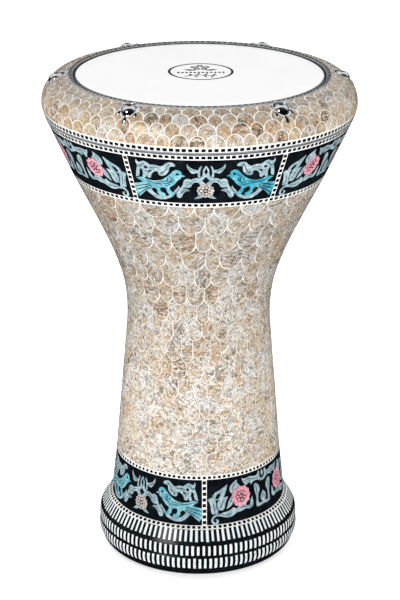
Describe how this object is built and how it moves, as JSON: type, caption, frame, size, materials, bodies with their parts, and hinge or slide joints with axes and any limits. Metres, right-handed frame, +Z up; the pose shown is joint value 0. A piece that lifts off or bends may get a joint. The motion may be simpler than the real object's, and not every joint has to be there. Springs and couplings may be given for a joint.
{
  "type": "goblet drum",
  "caption": "Goblet-shaped hand drum with an inlaid cast metal shell, a tunable white head under a rounded rim, and a flared open foot.",
  "frame": {"origin": "centre of the foot's base, on the surface that the drum stands on", "axes": "+Z up along the drum's axis, towards the head; -Y is the front, the middle of a bird panel"},
  "size_m": [0.278, 0.278, 0.4522],
  "materials": {
    "cast_aluminium": "as cast, matt",
    "pearl_inlay": "mother-of-pearl scales under clear lacquer",
    "dotted_strip": "white shell with black squares, lacquered",
    "black_resin": "black resin ground with cut shell inlay, lacquered",
    "chrome": "bright plated",
    "brass": "machined",
    "head_film": "smooth white polyester film"
  },
  "bodies": {
    "shell": {"shell_casting": "cast_aluminium", "lug_insert_1": "brass", "lug_insert_2": "brass", "lug_insert_3": "brass", "lug_insert_4": "brass", "lug_insert_5": "brass", "lug_insert_6": "brass", "drumhead_film": "head_film", "drumhead_skirt": "head_film", "body_scale_inlay": "pearl_inlay", "upper_band_top_strip": "dotted_strip", "upper_band_bottom_strip": "dotted_strip", "lower_band_top_strip": "dotted_strip", "lower_band_bottom_strip": "dotted_strip", "upper_bird_panel_1": "black_resin", "upper_bird_panel_2": "black_resin", "upper_bird_panel_3": "black_resin", "upper_rose_panel_1": "black_resin", "upper_rose_panel_2": "black_resin", "upper_rose_panel_3": "black_resin", "upper_divider_1": "dotted_strip", "upper_divider_2": "dotted_strip", "upper_divider_3": "dotted_strip", "upper_divider_4": "dotted_strip", "upper_divider_5": "dotted_strip", "upper_divider_6": "dotted_strip", "lower_rose_panel_1": "black_resin", "lower_rose_panel_2": "black_resin", "lower_bird_panel_1": "black_resin", "lower_bird_panel_2": "black_resin", "lower_divider_1": "dotted_strip", "lower_divider_2": "dotted_strip", "lower_divider_3": "dotted_strip", "lower_divider_4": "dotted_strip", "foot_bars_upper": "black_resin", "foot_bars_middle": "black_resin", "foot_bars_lower": "black_resin", "base_rim": "black_resin"},
    "tuning_ring": {"tuning_ring_casting": "cast_aluminium", "ring_scale_inlay": "pearl_inlay", "ring_edge_strip": "dotted_strip", "ring_hem_strip": "dotted_strip", "drumhead_hoop": "cast_aluminium", "bolt_cup_1": "chrome", "bolt_cup_2": "chrome", "bolt_cup_3": "chrome", "bolt_cup_4": "chrome", "bolt_cup_5": "chrome", "bolt_cup_6": "chrome"},
    "bolt_1": {"tuning_bolt_1": "chrome"},
    "bolt_2": {"tuning_bolt_2": "chrome"},
    "bolt_3": {"tuning_bolt_3": "chrome"},
    "bolt_4": {"tuning_bolt_4": "chrome"},
    "bolt_5": {"tuning_bolt_5": "chrome"},
    "bolt_6": {"tuning_bolt_6": "chrome"}
  },
  "joints": [
    {"name": "ring_travel", "type": "slide", "parent": "shell", "child": "tuning_ring", "axis": [0, 0, 1], "range_m": [-0.0008, 0.0022], "deforming": ["drumhead_skirt"]},
    {"name": "bolt_1_turn", "type": "hinge", "parent": "tuning_ring", "child": "bolt_1", "pos_m": [0.06275, -0.10869, 0.4436], "axis": [0, 0, 1], "range_deg": [-289, 793]},
    {"name": "bolt_2_turn", "type": "hinge", "parent": "tuning_ring", "child": "bolt_2", "pos_m": [0.1255, 0, 0.4436], "axis": [0, 0, 1], "range_deg": [-289, 793]},
    {"name": "bolt_3_turn", "type": "hinge", "parent": "tuning_ring", "child": "bolt_3", "pos_m": [0.06275, 0.10869, 0.4436], "axis": [0, 0, 1], "range_deg": [-289, 793]},
    {"name": "bolt_4_turn", "type": "hinge", "parent": "tuning_ring", "child": "bolt_4", "pos_m": [-0.06275, 0.10869, 0.4436], "axis": [0, 0, 1], "range_deg": [-289, 793]},
    {"name": "bolt_5_turn", "type": "hinge", "parent": "tuning_ring", "child": "bolt_5", "pos_m": [-0.1255, 0, 0.4436], "axis": [0, 0, 1], "range_deg": [-289, 793]},
    {"name": "bolt_6_turn", "type": "hinge", "parent": "tuning_ring", "child": "bolt_6", "pos_m": [-0.06275, -0.10869, 0.4436], "axis": [0, 0, 1], "range_deg": [-289, 793]}
  ],
  "couplings": [
    {"joint": "bolt_1_turn", "follows": "ring_travel", "rad_per_m": 6283.2},
    {"joint": "bolt_2_turn", "follows": "ring_travel", "rad_per_m": 6283.2},
    {"joint": "bolt_3_turn", "follows": "ring_travel", "rad_per_m": 6283.2},
    {"joint": "bolt_4_turn", "follows": "ring_travel", "rad_per_m": 6283.2},
    {"joint": "bolt_5_turn", "follows": "ring_travel", "rad_per_m": 6283.2},
    {"joint": "bolt_6_turn", "follows": "ring_travel", "rad_per_m": 6283.2}
  ]
}
